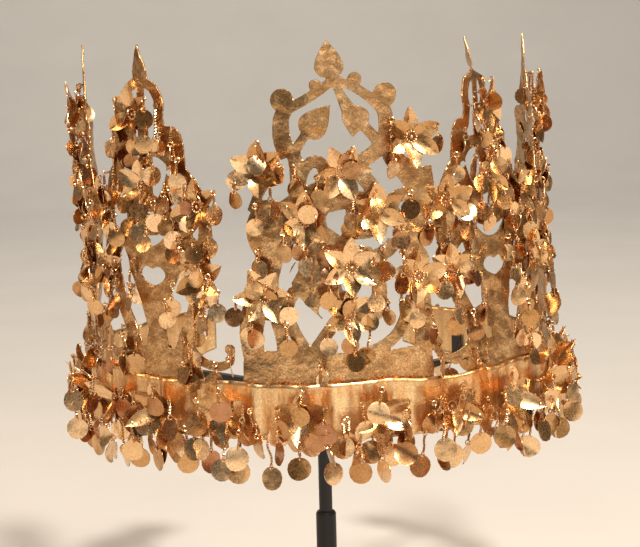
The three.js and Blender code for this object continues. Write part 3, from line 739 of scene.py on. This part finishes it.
def gold_material(name, hammer_mm, relief, scratch, roughness, tints=("deep", "pale"), has_tone=False, streaks=0.0):
    """Gold, beaten over a wooden block, scraped and burnished: pale where it is rubbed, brown in its scratches.

    hammer_mm is a hammer mark's width. scratch and streaks are the shares that dirt and redder gold take."""
    finish = bpy.context.scene.crown_finish
    material, tree = start_material(name)
    where = add(tree, "ShaderNodeTexCoord").outputs["Object"]

    def shades(places, names):
        return {"stops": [(place, linear(getattr(finish, each))) for place, each in zip(places, names)]}

    def stained(colour, marks, share, stain):
        """The colour with up to a share of a stain where the marks are white."""
        part = add(tree, "ShaderNodeMath", {"operation": "MULTIPLY", 1: share}, {0: marks}).outputs[0]
        return add(tree, "ShaderNodeMix", {"data_type": "RGBA", 7: linear(stain)}, {0: part, 6: colour}).outputs[2]

    rubbed = {"Scale": 1 / (6 * MM), "Detail": 4.0, "Roughness": 0.65}
    patches = add(tree, "ShaderNodeTexNoise", rubbed, {"Vector": where}).outputs["Fac"]
    colour = add(tree, "ShaderNodeValToRGB", shades((0.28, 0.72), tints), {"Fac": patches}).outputs["Color"]
    if has_tone:
        tone = add(tree, "ShaderNodeAttribute", {"attribute_name": "tone"}).outputs["Fac"]
        palette = shades((0.0, 0.24, 0.6, 0.85), ("rosy", "deep", "pale", "glossy"))
        own = add(tree, "ShaderNodeValToRGB", palette, {"Fac": tone}).outputs["Color"]
        colour = add(tree, "ShaderNodeMix", {"data_type": "RGBA", 0: 0.75}, {6: colour, 7: own}).outputs[2]
    if streaks:
        # Upright streaks, 3 mm wide and 25 mm long.
        drawn = add(tree, "ShaderNodeMapping", {"Scale": (1.0, 1.0, 0.12)}, {"Vector": where}).outputs["Vector"]
        bands = add(tree, "ShaderNodeTexNoise", {"Scale": 1 / (3 * MM), "Detail": 3.0}, {"Vector": drawn})
        banded = {"stops": [(0.42, BLACK), (0.62, WHITE)]}
        marks = add(tree, "ShaderNodeValToRGB", banded, {"Fac": bands.outputs["Fac"]})
        colour = stained(colour, marks.outputs["Color"], streaks, finish.orange)
    # A speckle of scrape marks and dirt, about half a millimetre across.
    dirt = {"Scale": 1 / (0.6 * MM), "Detail": 5.0, "Roughness": 0.7}
    speckle = add(tree, "ShaderNodeTexNoise", dirt, {"Vector": where}).outputs["Fac"]
    marks = add(tree, "ShaderNodeValToRGB", {"stops": [(0.4, WHITE), (0.56, BLACK)]}, {"Fac": speckle})
    colour = stained(colour, marks.outputs["Color"], scratch, finish.tarnish)
    # Long fine scratches from the scraper, two ways.
    both = []
    for turn in ((0.5, 1.2, 0.2), (-0.3, -0.9, 0.6)):
        settings = {"vector_type": "TEXTURE", "Scale": (1.0, 1.0, 14.0), "Rotation": turn}
        drawn = add(tree, "ShaderNodeMapping", settings, {"Vector": where}).outputs["Vector"]
        lines = add(tree, "ShaderNodeTexNoise", {"Scale": 1 / (0.6 * MM), "Detail": 2.0}, {"Vector": drawn})
        fine = {"stops": [(0.3, WHITE), (0.4, BLACK)]}
        both.append(add(tree, "ShaderNodeValToRGB", fine, {"Fac": lines.outputs["Fac"]}).outputs["Color"])
    lighten = {"data_type": "RGBA", "blend_type": "LIGHTEN", 0: 1.0}
    scratches = add(tree, "ShaderNodeMix", lighten, {6: both[0], 7: both[1]}).outputs[2]
    colour = stained(colour, scratches, scratch * 0.6, finish.tarnish)
    worn = {"From Min": 0.35, "From Max": 0.65, "To Min": roughness + 0.16, "To Max": roughness - 0.06}
    rough = add(tree, "ShaderNodeMapRange", worn, {"Value": speckle}).outputs["Result"]
    hammer = add(tree, "ShaderNodeTexNoise", {"Scale": 1 / (hammer_mm * MM), "Detail": 2.0}, {"Vector": where})
    deep = {"Strength": relief, "Distance": 0.5 * MM}
    dents = add(tree, "ShaderNodeBump", deep, {"Height": hammer.outputs["Fac"]}).outputs["Normal"]
    shallow = {"Strength": relief * 0.7, "Distance": 0.1 * MM}
    grain = add(tree, "ShaderNodeBump", shallow, {"Height": speckle, "Normal": dents}).outputs["Normal"]
    return dressed(material, tree, {"Metallic": 1.0}, {"Base Color": colour, "Roughness": rough, "Normal": grain})


def paint_material():
    """Satin black paint, sprayed on steel: an even dark coat with a faint grain and a little dust."""
    finish = bpy.context.scene.crown_finish
    material, tree = start_material("satin_black_paint")
    where = add(tree, "ShaderNodeTexCoord").outputs["Object"]
    coarse, fine = {"Scale": 1 / (18 * MM), "Detail": 5.0}, {"Scale": 1 / (1.2 * MM), "Detail": 3.0}
    grain = add(tree, "ShaderNodeTexNoise", fine, {"Vector": where}).outputs["Fac"]
    dust = add(tree, "ShaderNodeTexNoise", coarse, {"Vector": where}).outputs["Fac"]
    stops = {"stops": [(0.3, linear(finish.stand)), (0.8, linear(finish.dust))]}
    colour = add(tree, "ShaderNodeValToRGB", stops, {"Fac": dust}).outputs["Color"]
    rough = add(tree, "ShaderNodeMapRange", {"To Min": 0.34, "To Max": 0.55}, {"Value": dust}).outputs["Result"]
    faint = {"Strength": 0.2, "Distance": 0.05 * MM}
    bump = add(tree, "ShaderNodeBump", faint, {"Height": grain}).outputs["Normal"]
    return dressed(material, tree, {"IOR": 1.5}, {"Base Color": colour, "Roughness": rough, "Normal": bump})


def floor_material():
    """Pale matt studio paint, rolled: even, with the faintest mottle."""
    finish = bpy.context.scene.crown_finish
    material, tree = start_material("pale_studio_paint")
    where = add(tree, "ShaderNodeTexCoord").outputs["Object"]
    mottle = add(tree, "ShaderNodeTexNoise", {"Scale": 9.0, "Detail": 4.0}, {"Vector": where}).outputs["Fac"]
    stops = {"stops": [(0.3, linear(finish.mottle)), (0.7, linear(finish.floor))]}
    colour = add(tree, "ShaderNodeValToRGB", stops, {"Fac": mottle}).outputs["Color"]
    return dressed(material, tree, {"Roughness": 0.9}, {"Base Color": colour})


GOLDS = {
    # Beaten thin and scraped: a dull warm sheet with soft hammer marks and many fine scratches.
    "beaten_gold_sheet": {"hammer_mm": 3.0, "relief": 0.9, "scratch": 0.48, "roughness": 0.28},
    # Drawn out to a strip and rubbed by wear: brighter than the trees, with redder upright streaks.
    "streaked_gold_strip": {
        "hammer_mm": 4.5,
        "relief": 0.45,
        "scratch": 0.2,
        "roughness": 0.3,
        "tints": ("pale", "bright"),
        "streaks": 0.55,
    },
    # Thin foil and wire, cut and burnished: glossy, and each piece a little paler or redder than the next.
    "gold_foil_and_wire": {"hammer_mm": 2.6, "relief": 0.28, "scratch": 0.2, "roughness": 0.24, "has_tone": True},
}


def gold(name):
    return bpy.data.materials.get(name) or gold_material(name, **GOLDS[name])


# Operators.


BAND_WAVE, BAND_WAVE_LENGTH = 0.5 * MM, 56 * MM  # of its top edge
BAND_CUT, BAND_CUT_LENGTH = 0.8 * MM, 11 * MM  # the wavering of the shears
FLUTE, FLUTE_WIDTH, FLUTE_LENGTH = 0.9 * MM, 3.8 * MM, 45 * MM
RIPPLE, RIPPLE_WIDTH, RIPPLE_LENGTH = 0.35 * MM, 15 * MM, 14 * MM
FLARE, FLARE_WIDTH = 1.6 * MM, 20 * MM
END_TAPER, END_TAPER_LENGTH = 3 * MM, 10.6 * MM  # taken off above and below
TIE_HOLE_RADIUS, TIE_HOLE_INSET = 2 * MM, 6.4 * MM


class CROWN_OT_headband(bpy.types.Operator):
    """Makes the headband: a long strip of beaten sheet with a hand-cut, waving top edge"""

    bl_idname = "crown.headband"
    bl_label = "Headband"

    def execute(self, context):
        own = sizes()
        seat = band_seat()
        half = own.band_length / 2
        bm = bmesh.new()
        made = bmesh.ops.create_grid(bm, x_segments=420, y_segments=14, size=0.5)
        for vert in made["verts"]:
            u = vert.co.x * own.band_length
            share = vert.co.y + 0.5
            wave = BAND_WAVE * math.sin(2 * math.pi * u / BAND_WAVE_LENGTH)
            cut = BAND_CUT * noise.noise(Vector((u / BAND_CUT_LENGTH, 2.0, 0)))
            taper = END_TAPER * grown(abs(u), half - END_TAPER_LENGTH, END_TAPER_LENGTH)
            v = own.band_height * share + share * (wave + cut) + taper * (1 - 2 * share)
            flute = FLUTE * noise.noise(Vector((u / FLUTE_WIDTH, v / FLUTE_LENGTH, 5.0)))
            ripple = RIPPLE * noise.noise(Vector((u / RIPPLE_WIDTH, v / RIPPLE_LENGTH, 8.0)))
            # The top edge is bent a little away from the front tree.
            flare = FLARE * share**2 * math.exp(-((u / FLARE_WIDTH) ** 2))
            vert.co = on_crown(u, v, 0.3 * MM + flute + ripple + flare, seat)
        bmesh.ops.recalc_face_normals(bm, faces=bm.faces)
        if bm.faces[0].normal.dot(bm.faces[0].calc_center_median()) < 0:
            bmesh.ops.reverse_faces(bm, faces=bm.faces)
        mesh = finish_mesh(bm, "headband_sheet")
        band = new_object("headband_sheet", mesh, gold("streaked_gold_strip"), "headband")
        wall = band.modifiers.new("Sheet", "SOLIDIFY")
        wall.thickness = own.sheet * 0.85
        wall.offset = 0
        for side in (-1, 1):
            bm = bmesh.new()
            radius = TIE_HOLE_RADIUS
            bmesh.ops.create_cone(bm, cap_ends=True, segments=24, radius1=radius, radius2=radius, depth=9 * MM)
            bmesh.ops.rotate(bm, matrix=Matrix.Rotation(math.pi / 2, 3, "X"), verts=bm.verts)
            bmesh.ops.translate(bm, vec=(0, -seat.radius, seat.bottom + own.band_height / 2), verts=bm.verts)
            turn = side * (half - TIE_HOLE_INSET) / seat.radius
            bmesh.ops.rotate(bm, cent=(0, 0, 0), matrix=Matrix.Rotation(turn, 3, "Z"), verts=bm.verts)
            punch = bpy.data.objects.new("tie_hole", finish_mesh(bm, "tie_hole"))
            context.scene.collection.objects.link(punch)
            hole = band.modifiers.new("Tie hole", "BOOLEAN")
            hole.operation = "DIFFERENCE"
            hole.solver = "EXACT"
            hole.object = punch
        evaluated = band.evaluated_get(context.evaluated_depsgraph_get())
        done = bpy.data.meshes.new_from_object(evaluated)
        band.modifiers.clear()
        band.data = done
        for thing in [o for o in context.scene.objects if o.name.startswith("tie_hole")]:
            bpy.data.objects.remove(thing)
        return {"FINISHED"}


class CROWN_OT_trees(bpy.types.Operator):
    """Makes the five openwork trees, each cut flat, burnished and rolled to stand behind the headband"""

    bl_idname = "crown.trees"
    bl_label = "Trees"

    def execute(self, context):
        flat = {
            "front": cut_sheet("front", front_pattern, front_openings),
            "side": cut_sheet("side", side_pattern, side_openings),
        }
        for name in TREES:
            seat = tree_seat(name)
            mesh = flat["front" if name == "front_tree" else "side"].copy()
            for vert in mesh.vertices:
                u, v, w = vert.co * MM
                vert.co = on_crown(u, v, w, seat)
            mesh.name = f"{name}_sheet"
            tree = new_object(f"{name}_sheet", mesh, gold("beaten_gold_sheet"), name)
        return {"FINISHED"}


class CROWN_OT_rosettes(bpy.types.Operator):
    """Makes the rosettes of the headband and the trees, with the spangles that hang from their petals"""

    bl_idname = "crown.rosettes"
    bl_label = "Rosettes"

    def make(self, node, rng, matrix, turn, lift, hanging, style):
        bm = start_mesh()
        rosette(bm, rng, matrix, turn, lift, hanging, style)
        made = new_object(f"{node}_foil", finish_mesh(bm, f"{node}_foil"), gold("gold_foil_and_wire"), node)

    def execute(self, context):
        own = sizes()
        rng = random.Random(7)
        seat = band_seat()
        style = RosetteStyle(own.petal_length, (2.0, 10.5), own.band_disc, 4.6 * MM)
        pitch = own.band_length / BAND_ROSETTES
        for i in range(BAND_ROSETTES):
            u = (i - (BAND_ROSETTES - 1) / 2) * pitch
            matrix = standing(u, BAND_ROSETTE_RISE * MM, own.sheet, seat)
            self.make(f"headband_rosette_{i + 1}", rng, matrix, 30, 0.5, range(PETALS), style)
        style = RosetteStyle(own.petal_length * 0.96, (0.4, 3.6), own.tree_disc, 3.8 * MM)
        for name in TREES:
            seat = tree_seat(name)
            for i, (u, v, turn, lift) in enumerate(FRONT_ROSETTES if name == "front_tree" else SIDE_ROSETTES):
                matrix = standing(u * MM, v * MM, own.sheet, seat)
                # Petals 3 to 5 point down, so they are twice as likely to carry a spangle.
                hanging = set(rng.sample([0, 1, 2, 3, 4, 5, 3, 4, 5], 4))
                self.make(f"{name}_rosette_{i + 1}", rng, matrix, turn, lift, hanging, style)
        return {"FINISHED"}


class CROWN_OT_spangles(bpy.types.Operator):
    """Hangs more spangles on wires from the trees' sheet and from the headband"""

    bl_idname = "crown.spangles"
    bl_label = "Spangles"

    def hooks(self, rng, sheet, count, apart, clear):
        """Points spread over a sheet, none of them within the clear circles of (u, v, radius) in millimetres."""
        chosen = []
        tries, lowest = 60 * count, 6
        for _ in range(tries):
            vert = sheet.vertices[rng.randrange(len(sheet.vertices))]
            point = Vector(vert.co[:2])
            near = any((point - other).length < apart for other in chosen)
            bare = any((point - Vector((u, v))).length < radius for u, v, radius in clear)
            if not near and not bare and point.y > lowest:
                chosen.append(point)
            if len(chosen) == count:
                break
        return chosen

    def hang(self, bm, rng, seat, u, v, out, diameter, drop, pointed=False):
        root = on_crown(u, v, 0.3 * MM, seat)
        hook = on_crown(u, v - 0.5 * MM, out, seat)
        wire(bm, 0.5, root, hook, sizes().wire * 1.6, rng.uniform(-0.1, 0.1))
        spangle(bm, rng, hook, diameter, drop, pointed)

    def execute(self, context):
        own = sizes()
        rng = random.Random(23)
        for name in TREES:
            seat = tree_seat(name)
            front = name == "front_tree"
            sheet = bpy.data.meshes[f"{'front' if front else 'side'}_flat"]
            count, apart, clear = FRONT_SPANGLES if front else SIDE_SPANGLES
            bm = start_mesh()
            for u, v in self.hooks(rng, sheet, count, apart, clear):
                out = rng.uniform(1.2, 3.6) * MM
                diameter = own.tree_disc * (rng.uniform(0.9, 1.1) if rng.random() < COMMON else 1.32)
                drop = rng.uniform(2.0, 4.8) if rng.random() < COMMON else rng.uniform(7, 13)
                # No disc hangs lower than the tree's foot.
                self.hang(bm, rng, seat, u * MM, v * MM, out, diameter, min(drop, v - 3) * MM)
            made = new_object(f"{name}_spangles", finish_mesh(bm, f"{name}_spangles"), gold("gold_foil_and_wire"))
        seat = band_seat()
        bm = start_mesh()
        hung_length = own.band_length - 24 * MM
        for i in range(BAND_SPANGLES):
            u = ((i + 0.5 + rng.uniform(-0.4, 0.4)) / BAND_SPANGLES - 0.5) * hung_length
            low = i % 3 == 0
            v = rng.uniform(0.8, 3.0) * MM if low else rng.uniform(4, 12) * MM
            drop = rng.uniform(4.0, 10.0) * MM if low else rng.uniform(2, 5) * MM
            pointed = not low and rng.random() < 0.12
            self.hang(bm, rng, seat, u, v, rng.uniform(1.6, 4.2) * MM, own.band_disc, drop, pointed)
        made = new_object("headband_spangles", finish_mesh(bm, "headband_spangles"), gold("gold_foil_and_wire"))
        for mesh in [m for m in bpy.data.meshes if m.name.endswith("_flat") and not m.users]:
            bpy.data.meshes.remove(mesh)
        return {"FINISHED"}


class CROWN_OT_stand(bpy.types.Operator):
    """Makes the display stand's foot, stepped post and four-armed cradle in satin black paint"""

    bl_idname = "crown.stand"
    bl_label = "Display stand"

    def turned(self, name, node, profile, segments):
        bm = bmesh.new()
        verts = [bm.verts.new((x, 0, z)) for x, z in profile]
        edges = [bm.edges.new(pair) for pair in zip(verts, verts[1:])]
        line, round_z = verts + edges, {"cent": (0, 0, 0), "axis": (0, 0, 1), "angle": 2 * math.pi}
        bmesh.ops.spin(bm, geom=line, steps=segments, use_merge=True, **round_z)
        bmesh.ops.remove_doubles(bm, verts=bm.verts, dist=0.001 * MM)
        bmesh.ops.recalc_face_normals(bm, faces=bm.faces)
        made = new_object(name, finish_mesh(bm, name), self.paint, node)
        edge = made.modifiers.new("Softened edges", "BEVEL")
        edge.width = 0.25 * MM
        edge.segments = 2
        edge.limit_method = "ANGLE"

    def execute(self, context):
        self.paint = paint_material()
        low, high = foot_low, foot_high
        radius = (high.x - low.x) / 2
        bevel = 1.2 * MM
        edge = [(0, 0), (radius, 0), (radius, high.z - bevel), (radius - bevel, high.z), (0, high.z)]
        self.turned("foot_plate", "display_foot", edge, 96)
        post_low, post_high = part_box("display_post")
        sleeve = (post_high.x - post_low.x) / 2
        rod, step, shoulder = 2.5 * MM, 53 * MM, 0.6 * MM
        lower = [(0, post_low.z), (sleeve, post_low.z), (sleeve, step - 1 * MM), (sleeve - shoulder, step)]
        upper = [(rod, step), (rod, post_high.z), (0, post_high.z)]
        self.turned("stepped_post", "display_post", lower + upper, 40)
        cradle = frame["nodes"]["display_cradle"].data
        cradle.materials.clear()
        cradle.materials.append(self.paint)
        return {"FINISHED"}


# Each light's name, place, size, watts, colour and what it is aimed at.
CROWN_MIDDLE = (0, 0, 0.17)
LIGHTS = (
    ("key_softbox", (0.16, -0.8, 1.1), 0.16, 18, "FFF6EC", CROWN_MIDDLE),
    ("front_softbox", (0.3, -1.25, 0.6), 0.9, 2.2, "FFF6EC", CROWN_MIDDLE),
    ("top_softbox", (0.1, 0.35, 1.5), 0.8, 8, "FFFAF4", (0, 0.3, 0)),
    ("right_softbox", (1.0, -0.5, 0.75), 0.3, 7, "FFD6A6", CROWN_MIDDLE),
    ("left_softbox", (-1.1, -0.1, 0.6), 0.3, 4, "FFCE98", CROWN_MIDDLE),
    ("backdrop_softbox", (0, 1.1, 1.7), 0.8, 12, "FFFAF4", (0, 2.6, 0.5)),
)
WORLD_TINT, WORLD_STRENGTH = "D8D2C8", 0.13

# The photograph's viewpoint: its turn round the crown, its distance and height, then its tilt in degrees.
VIEW_TURN, VIEW_DISTANCE, VIEW_HEIGHT = -3.74, 0.6517, 0.2343
VIEW_PITCH, VIEW_ROLL = 7.96, -1.44


class CROWN_OT_stage(bpy.types.Operator):
    """Sets the pale floor, the soft lights and the camera"""

    bl_idname = "crown.stage"
    bl_label = "Stage"

    def light(self, name, place, size, watts, colour, aim):
        lamp = bpy.data.lights.new(name, "AREA")
        lamp.shape = "DISK"
        lamp.size = size
        lamp.energy = watts
        lamp.color = linear(colour)[:3]
        made = bpy.data.objects.new(name, lamp)
        made.location = place
        made.rotation_euler = (Vector(aim) - Vector(place)).to_track_quat("-Z", "Y").to_euler()
        bpy.context.scene.collection.objects.link(made)

    def execute(self, context):
        bm = bmesh.new()
        made = bmesh.ops.create_grid(bm, x_segments=2, y_segments=48, size=0.5)
        # It starts in front of the crown, and at the bend it curves up into the wall behind.
        start, reach, bend, radius, breadth = -1.0, 5.6, 1.6, 0.9, 7.0
        for vert in made["verts"]:
            x, along = vert.co.x * breadth, start + (vert.co.y + 0.5) * reach
            turned = min(max((along - bend) / radius, 0.0), math.pi / 2)
            wall = max(along - bend - radius * math.pi / 2, 0.0)
            vert.co = (x, min(along, bend) + radius * math.sin(turned), radius * (1 - math.cos(turned)) + wall)
        mesh = finish_mesh(bm, "studio_floor")
        floor = bpy.data.objects.new("studio_floor", mesh)
        context.scene.collection.objects.link(floor)
        mesh.materials.append(floor_material())
        for face in mesh.polygons:
            face.use_smooth = True

        world = bpy.data.worlds.new("studio_light")
        world.use_nodes = True
        background = world.node_tree.nodes["Background"].inputs
        background["Color"].default_value = linear(WORLD_TINT)
        background["Strength"].default_value = WORLD_STRENGTH
        context.scene.world = world
        for settings in LIGHTS:
            self.light(*settings)

        camera = bpy.data.cameras.new("camera")
        camera.lens = 100
        camera.sensor_width = 36
        camera.clip_start = 0.02
        made = bpy.data.objects.new("camera", camera)
        turn, pitch, roll = (math.radians(angle) for angle in (VIEW_TURN, VIEW_PITCH, VIEW_ROLL))
        ahead = Vector((-math.sin(turn), math.cos(turn), 0))
        made.location = -ahead * VIEW_DISTANCE + Vector((0, 0, VIEW_HEIGHT))
        looking = ahead * math.cos(pitch) - Vector((0, 0, math.sin(pitch)))
        aim = looking.to_track_quat("-Z", "Y").to_matrix().to_4x4() @ Matrix.Rotation(roll, 4, "Z")
        made.rotation_euler = aim.to_euler()
        context.scene.collection.objects.link(made)
        context.scene.camera = made
        context.scene.view_settings.view_transform = "Standard"
        return {"FINISHED"}


class CROWN_PT_crown(bpy.types.Panel):
    """Lists the crown's settings and the steps that make it"""

    bl_idname = "CROWN_PT_crown"
    bl_label = "Gold Crown"
    bl_space_type = "VIEW_3D"
    bl_region_type = "UI"
    bl_category = "Crown"

    def draw(self, context):
        for group in (context.scene.crown_sizes, context.scene.crown_finish):
            for name in group.__annotations__:
                self.layout.prop(group, name)
        for step in STEPS:
            self.layout.operator(step.bl_idname)


STEPS = (CROWN_OT_headband, CROWN_OT_trees, CROWN_OT_rosettes, CROWN_OT_spangles, CROWN_OT_stand, CROWN_OT_stage)
CLASSES = (CrownSizes, CrownFinish, *STEPS, CROWN_PT_crown)


def register():
    for each in CLASSES:
        bpy.utils.register_class(each)
    bpy.types.Scene.crown_sizes = bpy.props.PointerProperty(type=CrownSizes)
    bpy.types.Scene.crown_finish = bpy.props.PointerProperty(type=CrownFinish)


def unregister():
    del bpy.types.Scene.crown_finish
    del bpy.types.Scene.crown_sizes
    for each in reversed(CLASSES):
        bpy.utils.unregister_class(each)


def main():
    register()
    bpy.ops.crown.headband()
    bpy.ops.crown.trees()
    bpy.ops.crown.rosettes()
    bpy.ops.crown.spangles()
    bpy.ops.crown.stand()
    bpy.ops.crown.stage()


if __name__ == "__main__":
    main()
